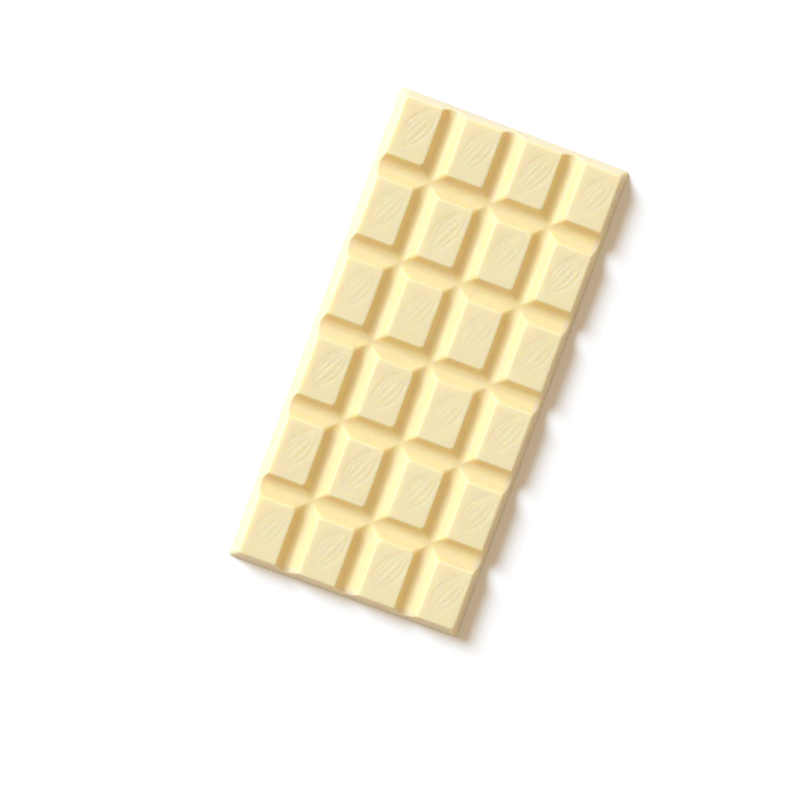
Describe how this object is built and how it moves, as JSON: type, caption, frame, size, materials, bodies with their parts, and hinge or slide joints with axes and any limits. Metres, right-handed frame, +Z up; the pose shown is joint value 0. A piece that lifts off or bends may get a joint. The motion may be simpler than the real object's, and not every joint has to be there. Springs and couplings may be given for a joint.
{
  "type": "chocolate bar",
  "caption": "Unwrapped white chocolate tablet: a flat rectangular slab moulded into rows of bevelled oblong squares, to be snapped apart along its grooves.",
  "frame": {"origin": "centre of the flat underside, on the surface that the bar lies on", "axes": "+Y runs along the bar, +X across it, +Z is up out of the moulded side with the squares"},
  "size_m": [0.0754, 0.1538, 0.0071],
  "materials": {
    "white_chocolate": "satin, slightly waxy and translucent white chocolate"
  },
  "bodies": {
    "root": {"bar": "white_chocolate"}
  },
  "joints": []
}
